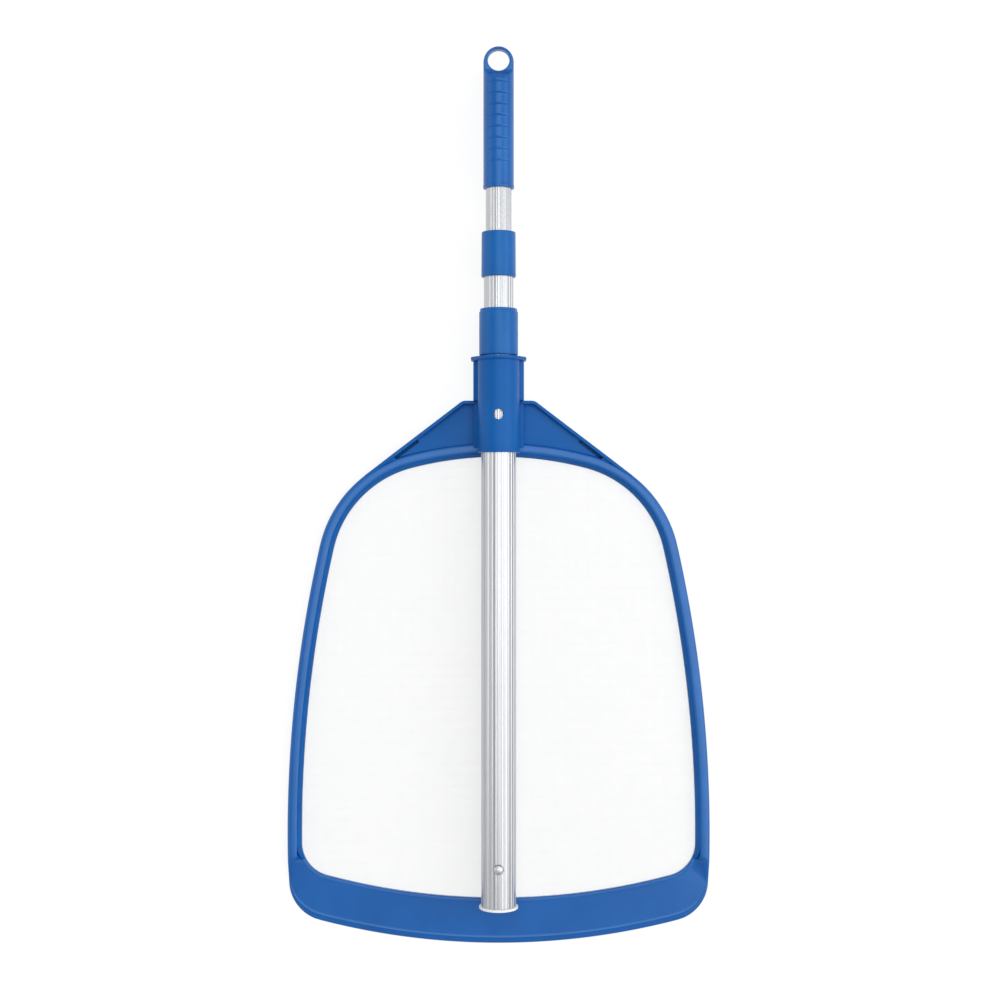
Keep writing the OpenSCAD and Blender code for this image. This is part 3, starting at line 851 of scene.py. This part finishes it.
def cut(piece, cutter):
    """Takes the cutter's volume out of a piece."""
    step = piece.modifiers.new("cut", "BOOLEAN")
    step.operation = "DIFFERENCE"
    step.solver = "EXACT"
    step.object = cutter
    bpy.context.view_layer.objects.active = piece
    bpy.ops.object.modifier_apply(modifier=step.name)
    bpy.data.objects.remove(cutter)
    piece.data.set_sharp_from_angle(angle=math.radians(32))
    return piece


def rod(name, profile, place, steps=64, material=None):
    """A turned piece standing along Z at a place, from (radius, height) pairs."""
    bm = bmesh.new()
    rings = []
    for radius, height in profile:
        ring = []
        for i in range(steps):
            turn = 2 * math.pi * i / steps
            ring.append(bm.verts.new((place.x + radius * math.cos(turn),
                                      place.y + radius * math.sin(turn), height)))
        rings.append(ring)
    for a, b in zip(rings, rings[1:]):
        for i in range(steps):
            j = (i + 1) % steps
            bm.faces.new((a[i], a[j], b[j], b[i]))
    bm.faces.new(rings[0])
    bm.faces.new(rings[-1])
    return finish_mesh(bm, name, 40, material or BLUE)


def make_barrel():
    low = SOCKET_LO.y
    high = SOCKET_HI.y
    bore = SOCKET_BORE / 2
    out = bore + SOCKET_WALL
    profile = [
        (bore + 0.4 * MM, low),
        (out - 0.5 * MM, low),
        (out - 0.12 * MM, low + 0.15 * MM),
        (out, low + 0.6 * MM),
        (out, low + 20 * MM),
        (out, high - 20 * MM),
        (out, high - 0.5 * MM),
        (out - 0.5 * MM, high - 0.02 * MM),
        (bore + 1.2 * MM, high - 0.02 * MM),
        (bore, high - 1.2 * MM),
        (bore, high - 20 * MM),
        (bore, low + 20 * MM),
        (bore, low + 0.4 * MM),
    ]
    bm = bmesh.new()
    add_lathe(bm, profile, 128)
    barrel = finish_mesh(bm, "pole_socket_barrel", 32, BLUE)
    place = Vector((0, low + HOLE_UP))
    edge = 0.35 * MM
    r = HOLE_D / 2
    top = POLE_Z + out
    cutter = rod("hole_cutter", [
        (r + 3 * edge, top + 1 * MM),
        (r, top - edge),
        (r, POLE_Z - out + 3 * edge),
        (r + edge, POLE_Z - out - 2 * MM),
    ], place)
    return cut(barrel, cutter)


def rim_outline(pull):
    """Outline of the rim's flange as (x, z), drawn in by pull: round over the pole, with square
    shoulders at the sides."""
    round_r = SOCKET_BORE / 2 + SOCKET_WALL + RIM_OVER
    half = SADDLE_W / 2 + RIM_OVER
    touch = math.acos(round_r / half)
    steps = 28
    foot = RIM_FOOT
    points = [Vector((half - pull, foot + pull)), Vector((half - pull, POLE_Z - 1.5 * MM))]
    shoulder = Vector((half, POLE_Z))
    start = Vector((half, POLE_Z - 1.5 * MM))
    end = polar((0, POLE_Z), round_r, touch)
    inward = shoulder.lerp(end, 0.3)
    for k in range(1, 5):
        t = k / 5
        p = start.lerp(shoulder, t).lerp(shoulder.lerp(inward, t), t)
        points.append(p - (p - Vector((0, POLE_Z))).normalized() * pull)
    for i in range(steps + 1):
        turn = lerp(touch, math.pi - touch, i / steps)
        points.append(polar((0, POLE_Z), round_r - pull, turn))
    right = points[1:6]
    points += [Vector((-p.x, p.y)) for p in right[::-1]]
    points.append(Vector((-half + pull, foot + pull)))
    return points


def make_rim():
    """Flange round the top of the socket, open for the pole."""
    high = SOCKET_HI.y
    low = high - RIM_T
    bm = bmesh.new()
    sections = []
    # up the flange, and how far its outline is drawn in there
    steps = (
        (low, 0.9),
        (low + 0.25 * MM, 0.45),
        (low + 0.8 * MM, 0.12),
        (low + 1.5 * MM, 0.0),
        (high - 0.9 * MM, 0.0),
        (high - 0.4 * MM, 0.1),
        (high - 0.12 * MM, 0.35),
        (high, 0.8),
    )
    for y, pull in steps:
        sections.append([Vector((p.x, y, p.y)) for p in rim_outline(pull * MM)])
    add_loft(bm, sections)
    rim = finish_mesh(bm, "pole_socket_rim", 34, BLUE)
    bore = SOCKET_BORE / 2
    bm = bmesh.new()
    add_lathe(bm, [
        (0.0, low - 1 * MM),
        (bore + 0.3 * MM, low - 1 * MM),
        (bore + 0.3 * MM, high - 0.6 * MM),
        (bore + 1.6 * MM, high + 0.7 * MM),
        (0.0, high + 0.7 * MM),
    ], 128, closed=False)
    return cut(rim, finish_mesh(bm, "bore_cutter", 40, BLUE))


def add_wall(bm, side, low, high, corners, sizes):
    """A wall along the pole from its section, given as (inward from the outer face, up)."""
    flat = rounded([(side * (SADDLE_W / 2 - d), z) for d, z in corners], sizes, 5)
    rings = []
    for y, shrink in ((low, 0.5 * MM), (low + 0.2 * MM, 0.15 * MM), (low + 0.5 * MM, 0.0), (high, 0.0)):
        rings.append([Vector((p.x - side * shrink, y, max(p.y - shrink, 0))) for p in flat])
    add_loft(bm, rings)


def make_saddle():
    """Side walls that carry the socket down to the hoop: full beside the upper socket, and
    stepped beside the brackets, whose ribs run over the step."""
    low = SOCKET_LO.y
    wall_top = POLE_Z - 4 * MM
    inside = SADDLE_WALL + 1.0 * MM
    step = RIB_H - 0.8 * MM
    upper = [(inside, 0.0), (0.0, 0.0), (0.0, wall_top), (inside, wall_top + 1.0 * MM)]
    lower = [
        (inside + 3.5 * MM, 0.0),
        (0.0, 0.0),
        (0.0, step),
        (inside, step),
        (inside + 0.6 * MM, wall_top),
        (inside + 3.5 * MM, wall_top),
    ]
    bm = bmesh.new()
    for side in (-1, 1):
        add_wall(bm, side, BRACKET_HI.y - 0.6 * MM, SOCKET_HI.y - 1.0 * MM, upper,
                 [0, 0.3 * MM, 1.4 * MM, 0])
        add_wall(bm, side, low + NOTCH_L, BRACKET_HI.y - 0.4 * MM, lower,
                 [0, 0.3 * MM, 1.4 * MM, 0.8 * MM, 0, 0])
    between = SADDLE_W - 2 * inside
    for y in (low + NOTCH_L + 1.7 * MM, BRACKET_HI.y - 2.5 * MM):
        place = Matrix.Translation((0, y, CROSS_RIB_H / 2 + 0.1 * MM))
        size = Matrix.Diagonal((between, CROSS_RIB_T, CROSS_RIB_H, 1))
        bmesh.ops.create_cube(bm, size=1.0, matrix=place @ size)
    return finish_mesh(bm, "pole_socket_saddle", 34, BLUE)


# ---------------------------------------------------------------- pole fittings

def edge_round(corner, before, after, size, steps=4):
    """Points that round one corner of a profile of (radius, y)."""
    corner = Vector(corner)
    start = corner + (Vector(before) - corner).normalized() * size
    end = corner + (Vector(after) - corner).normalized() * size
    points = []
    for k in range(steps + 1):
        t = k / steps
        points.append(tuple(start.lerp(corner, t).lerp(corner.lerp(end, t), t)))
    return points


def soft_profile(corners):
    """Open profile from (radius, y, rounding) corners."""
    points = [corners[0][:2]]
    for i in range(1, len(corners) - 1):
        r, y, size = corners[i]
        if size > 0:
            points += edge_round((r, y), corners[i - 1][:2], corners[i + 1][:2], size * MM)
        else:
            points.append((r, y))
    points.append(corners[-1][:2])
    return points


def make_outer_collar():
    """Plain sleeve with a well-rounded lower end and a small step at its top."""
    low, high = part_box("outer_collar")
    r = (high.x - low.x) / 2
    on_tube = (TUBE_HI.x - TUBE_LO.x) / 2
    guide = MIDDLE_D / 2 + COLLAR_PLAY
    step = r - 0.75 * MM
    profile = soft_profile([
        (on_tube, high.y - COLLAR_CAP, 0),
        (on_tube, low.y, 0.3),
        (r, low.y, 2.0),
        (r, high.y - 2.5 * MM, 0.7),
        (step, high.y - 2.5 * MM, 0.15),
        (step, high.y, 0.6),
        (guide, high.y, 0.5),
        (guide, high.y - COLLAR_CAP, 0),
        (on_tube, high.y - COLLAR_CAP, 0),
    ])[:-1]
    bm = bmesh.new()
    add_lathe(bm, profile, 128)
    return finish_mesh(bm, "outer_collar_sleeve", 34, POLE_BLUE)


def make_middle_collar():
    """Sleeve that widens a little towards its lower end."""
    low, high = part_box("middle_collar")
    r = (high.x - low.x) / 2
    upper = r - 0.3 * MM
    on_tube = MIDDLE_D / 2
    guide = INNER_D / 2 + COLLAR_PLAY
    profile = soft_profile([
        (on_tube, high.y - COLLAR_CAP, 0),
        (on_tube, low.y, 0.3),
        (r, low.y, 1.0),
        (r - 0.12 * MM, low.y + 5 * MM, 2.0),
        (upper, high.y, 0.9),
        (guide, high.y, 0.5),
        (guide, high.y - COLLAR_CAP, 0),
        (on_tube, high.y - COLLAR_CAP, 0),
    ])[:-1]
    bm = bmesh.new()
    add_lathe(bm, profile, 128)
    return finish_mesh(bm, "middle_collar_sleeve", 34, POLE_BLUE)


def make_end_plug():
    """White disc that closes the pole's lower end, with a spigot inside the tube."""
    low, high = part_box("end_plug")
    r = (high.x - low.x) / 2
    face = low.y + PLUG_T
    spigot = TUBE_BORE / 2
    profile = soft_profile([
        (0.0, low.y, 0),
        (r, low.y, 0.8),
        (r, face, 0.5),
        (spigot, face, 0),
        (spigot, high.y, 0.5),
        (spigot - 2 * MM, high.y, 0.3),
        (spigot - 2 * MM, face, 0.4),
        (0.0, face, 0),
    ])
    bm = bmesh.new()
    add_lathe(bm, profile, 128, closed=False)
    return finish_mesh(bm, "end_plug_disc", 34, WHITE)


def make_button(node, up):
    """Domed button on a small flange; up is 1 on the front and -1 on the back."""
    low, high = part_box(node)
    place = Vector(((low.x + high.x) / 2, (low.y + high.y) / 2))
    flange_r = (high.x - low.x) / 2
    r = BUTTON_D / 2
    tall = high.z - low.z
    base = low.z if up > 0 else high.z
    edge = 0.25 * MM
    steps = [
        (flange_r, 0.0),
        (flange_r, BUTTON_FLANGE - edge),
        (flange_r - edge, BUTTON_FLANGE),
        (r, BUTTON_FLANGE),
        (r, tall - BUTTON_DOME - 0.1 * MM),
    ]
    ball = (r * r + BUTTON_DOME * BUTTON_DOME) / (2 * BUTTON_DOME)
    wall = r - edge
    reach = math.asin(wall / ball)
    for i in range(13):
        turn = reach * (1 - i / 12)
        steps.append((max(ball * math.sin(turn), 0.02 * MM), tall - ball + ball * math.cos(turn)))
    profile = [(radius, base + up * height) for radius, height in steps]
    return rod(node + "_dome", profile, place, 72, BUTTON_STEEL)


def make_spring(node, up):
    """Bent steel leaf under a button: the bend on the pole's axis, the leg, and the flat pad."""
    low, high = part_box(node)
    middle = (low.x + high.x) / 2
    foot = low.z if up > 0 else high.z
    seat = high.z - low.z - SPRING_T / 2
    bend = SPRING_BEND + SPRING_T / 2
    bend_y = high.y - SPRING_BEND - SPRING_T
    path = []
    for i in range(9):
        turn = math.radians(90 * i / 8)
        path.append(Vector((bend_y + bend * math.cos(turn), bend * math.sin(turn))))
    path.append(Vector((low.y + SPRING_PAD, seat)))
    path.append(Vector((low.y, seat)))
    half = SPRING_T / 2
    side = (high.x - low.x) / 2
    soft = SPRING_T * 0.2
    # section of the strip as (across, out of the path), with its corners taken off
    corners = []
    for x, y in ((side, -1), (side, 1), (-side, 1), (-side, -1)):
        across = (x - math.copysign(soft, x), y * half)
        along = (x, y * (half - soft))
        corners += [across, along] if x * y < 0 else [along, across]
    bm = bmesh.new()
    rings = []
    for i, point in enumerate(path):
        before = path[max(i - 1, 0)]
        after = path[min(i + 1, len(path) - 1)]
        way = (after - before).normalized()
        normal = Vector((way.y, -way.x))
        rings.append([
            (middle + x, point.x + normal.x * y, foot + up * (point.y + normal.y * y))
            for x, y in corners
        ])
    rings[0] = [(p[0], p[1], foot) for p in rings[0]]
    add_loft(bm, rings)
    return finish_mesh(bm, node + "_leaf", material=SPRING_STEEL)


def fit_spring(node, up):
    """Puts a spring on the pole, on a mesh of its own."""
    spring = keep(make_spring(node, up), "outer_section", "spring_steel", node)
    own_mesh(spring)


def grip_half_thickness(y):
    """Half of the grip's thickness at a height: full below, thinner at the hanging tab."""
    r = GRIP_D / 2
    tab_y = GRIP_HI.y - r + HANG_UP - HANG_D / 2 - 2.4 * MM
    share = smoothstep(tab_y - 10 * MM, tab_y + 4 * MM, y)
    return lerp(r + 3 * MM, TAB_T / 2, share)


def grip_ring(y, radius, thick):
    """Ring of the grip's skin: round, with flats at the tab and grooves across the front and
    back that fade out before the sides."""
    soft = 0.45 * MM
    ring = []
    nearest = min(abs(y - (GRIP_LO.y + GROOVE_UP + i * GROOVE_PITCH)) for i in range(GROOVES))
    half = GROOVE_W / 2
    dip = 0.5 + 0.5 * math.cos(math.pi * nearest / half) if nearest < half else 0.0
    lift = math.exp(-((nearest - half * 1.5) / (half * 0.45)) ** 2)
    for i in range(GRIP_STEPS):
        turn = 2 * math.pi * i / GRIP_STEPS
        x = radius * math.cos(turn)
        z = radius * math.sin(turn)
        fade = 1 - smoothstep(GRIP_D * 0.2, GRIP_D * 0.4, abs(x))
        z_size = abs(z)
        z_size -= (dip * GROOVE_DEPTH - lift * 0.12 * MM) * fade
        z_size = -soft * math.log(math.exp(-z_size / soft) + math.exp(-thick / soft))
        ring.append(Vector((x, y, POLE_Z + math.copysign(max(z_size, 0), z))))
    return ring


def make_grip():
    """Handle with shallow finger grooves, a rounded hanging tab and a lip at its lower end."""
    low = GRIP_LO.y
    r = GRIP_D / 2
    body = r - 0.3 * MM
    bore = INNER_D / 2
    top_c = GRIP_HI.y - r
    turns = [2 * math.pi * i / GRIP_STEPS for i in range(GRIP_STEPS)]
    rings = []
    lower_end = [
        (0.02 * MM, low + GRIP_INSERT),
        (bore, low + GRIP_INSERT),
        (bore, low + 0.5 * MM),
        (bore + 0.4 * MM, low),
        (r - 0.9 * MM, low),
        (r - 0.25 * MM, low + 0.25 * MM),
        (r, low + 0.9 * MM),
        (r, low + 1.9 * MM),
        (r - 0.1 * MM, low + 2.6 * MM),
        (body, low + 3.6 * MM),
    ]
    for radius, y in lower_end:
        rings.append([Vector((radius * math.cos(t), y, POLE_Z + radius * math.sin(t))) for t in turns])
    y = low + 4.4 * MM
    while y < top_c:
        rings.append(grip_ring(y, body, grip_half_thickness(y)))
        y += 0.48 * MM
    steps = 30
    for i in range(steps + 1):
        turn = math.pi / 2 * i / steps
        y = top_c + r * math.sin(turn)
        radius = max(body * math.cos(turn), 0.02 * MM)
        rings.append(grip_ring(y, radius, grip_half_thickness(y)))
    bm = bmesh.new()
    add_loft(bm, rings)
    grip = finish_mesh(bm, "grip_handle", 40, GRIP_BLUE)
    place = Vector((0, top_c + HANG_UP))
    hole = HANG_D / 2
    top = TAB_T / 2
    soft = 1.1 * MM
    profile = [(hole + soft * 1.6, POLE_Z + top + soft)]
    for i in range(7):
        turn = math.pi / 2 * i / 6
        profile.append((hole + soft * (1 - math.sin(turn)), POLE_Z + top - soft * (1 - math.cos(turn))))
    profile += [(radius, 2 * POLE_Z - z) for radius, z in profile[::-1]]
    return cut(grip, rod("hang_cutter", profile, place))


# ---------------------------------------------------------------- stage, light and camera

# of the white floor as it is seen, what is lit and so shows the object's shadow, and what isn't
FLOOR_SHADED = 0.2
FLOOR_GLOW = 0.84
# of the floor as it throws light back on the object
FLOOR_COLOUR = (0.82, 0.82, 0.82, 1)
FLOOR_SIZE = 30.0
FLOOR_DROP = 0.02 * MM
# the world as a light, and as gloss shows it
WORLD_LIGHT = 0.35
WORLD_GLOSS = 0.5
# the camera stands this far above the floor
CAMERA_Z = 1.399
LENS = 57.6


def make_floor():
    mesh = bpy.data.meshes.new("floor")
    half = FLOOR_SIZE / 2
    mesh.from_pydata(
        [(-half, -half, 0), (half, -half, 0), (half, half, 0), (-half, half, 0)],
        [],
        [(0, 1, 2, 3)],
    )
    floor = new_object("floor", mesh)
    floor.location.z = -FLOOR_DROP
    n = Nodes("floor_paper")
    n.set(Roughness=1.0, Specular_IOR_Level=0.0)
    n.shader.inputs["Base Color"].default_value = FLOOR_COLOUR
    path = n.add("ShaderNodeLightPath")
    seen = n.add("ShaderNodeMath", operation="MAXIMUM")
    n.join(path, "Is Camera Ray", seen, 0)
    n.join(path, "Is Glossy Ray", seen, 1)
    seen_too = n.add("ShaderNodeMath", operation="MAXIMUM")
    n.join(seen, "Value", seen_too, 0)
    n.join(path, "Is Transmission Ray", seen_too, 1)
    shaded = n.add("ShaderNodeBsdfDiffuse")
    shaded.inputs["Color"].default_value = (FLOOR_SHADED, FLOOR_SHADED, FLOOR_SHADED, 1)
    glow = n.add("ShaderNodeEmission")
    glow.inputs["Color"].default_value = (1, 1, 1, 1)
    glow.inputs["Strength"].default_value = FLOOR_GLOW
    both = n.add("ShaderNodeAddShader")
    n.join(shaded, "BSDF", both, 0)
    n.join(glow, "Emission", both, 1)
    choice = n.add("ShaderNodeMixShader")
    n.join(seen_too, "Value", choice, 0)
    n.join(n.shader, "BSDF", choice, 1)
    n.join(both, "Shader", choice, 2)
    n.join(choice, "Shader", n.out, "Surface")
    floor.data.materials.append(n.material)


def add_light(name, place, target, size, radiance):
    """A soft panel; radiance is what a mirror would show of it."""
    data = bpy.data.lights.new(name, "AREA")
    data.shape = "RECTANGLE"
    data.size = size[0]
    data.size_y = size[1]
    data.energy = radiance * math.pi * size[0] * size[1]
    made = new_object(name, data)
    made.location = place
    made.rotation_euler = (Vector(target) - Vector(place)).to_track_quat("-Z", "Y").to_euler()
    made.visible_camera = False


def make_lights():
    add_light("top_panel", (0.15, 0.76, 2.3), (0.15, 0.76, 0), (1.55, 2.9), 1.7)
    add_light("key_panel", (1.65, -0.5, 1.9), (0, -0.5, 0), (2.2, 2.2), 1.4)
    add_light("left_panel", (-2.2, 0.2, 0.85), (0, 0, 0), (2.4, 1.6), 0.85)
    add_light("right_panel", (2.1, 0.4, 1.3), (0, 0, 0), (2.2, 1.4), 1.2)
    make_world()


def make_world():
    """Even soft light from all round, seen by the camera as plain white and by gloss as grey."""
    world = bpy.data.worlds.new("studio")
    bpy.context.scene.world = world
    world.use_nodes = True
    tree = world.node_tree
    tree.nodes.clear()
    out = tree.nodes.new("ShaderNodeOutputWorld")
    path = tree.nodes.new("ShaderNodeLightPath")
    last = None
    for strength, ray in ((WORLD_LIGHT, None), (WORLD_GLOSS, "Is Glossy Ray"), (1.0, "Is Camera Ray")):
        sky = tree.nodes.new("ShaderNodeBackground")
        sky.inputs["Color"].default_value = (1, 1, 1, 1)
        sky.inputs["Strength"].default_value = strength
        if ray:
            choice = tree.nodes.new("ShaderNodeMixShader")
            tree.links.new(path.outputs[ray], choice.inputs[0])
            tree.links.new(last, choice.inputs[1])
            tree.links.new(sky.outputs[0], choice.inputs[2])
            last = choice.outputs[0]
        else:
            last = sky.outputs[0]
    tree.links.new(last, out.inputs["Surface"])


def make_camera():
    """Straight above the middle of the object, handle up."""
    data = bpy.data.cameras.new("camera")
    data.sensor_width = 36
    data.lens = LENS
    camera = new_object("camera", data)
    low, high = CAD_BOUNDS
    x = (low[0] + high[0]) / 2 + 1.2 * MM
    y = (low[1] + high[1]) / 2 - 0.75 * MM
    camera.location = (x, y, CAMERA_Z)
    bpy.context.scene.camera = camera


# ---------------------------------------------------------------- assembly

make_camera()
make_floor()
make_lights()

keep(make_hoop(), "head", "blue_plastic", "hoop_rail", "scoop_blade", "corner_left", "corner_right")
keep(make_clamp_strip(), "head", "blue_plastic", "net_clamp_ring")
net = keep(make_net(), "head", "net_mesh", "net")
keep(make_bracket(-1), "head", "blue_plastic", "bracket_left")
keep(make_bracket(1), "head", "blue_plastic", "bracket_right")
keep(make_barrel(), "head", "blue_plastic", "pole_socket")
keep(make_rim(), "head", "blue_plastic")
keep(make_saddle(), "head", "blue_plastic")

keep(make_outer_collar(), "outer_section", "blue_plastic", "outer_collar")
keep(make_middle_collar(), "middle_section", "blue_plastic", "middle_collar")
keep(make_grip(), "inner_section", "blue_plastic", "grip")
keep(make_end_plug(), "outer_section", "white_plastic", "end_plug")
keep(make_button("snap_button_front", 1), "button_front", "button_steel", "snap_button_front")
keep(make_button("snap_button_back", -1), "button_back", "button_steel", "snap_button_back")
fit_spring("button_spring_front", 1)
fit_spring("button_spring_back", -1)

for node in ("middle_lock_ring", "inner_lock_ring", "middle_cam_plug", "inner_cam_plug"):
    dress(node, BLUE)
for node in ("outer_tube", "middle_tube", "inner_tube"):
    dress(node, ALUMINIUM)

bpy.context.scene.view_settings.view_transform = "Standard"
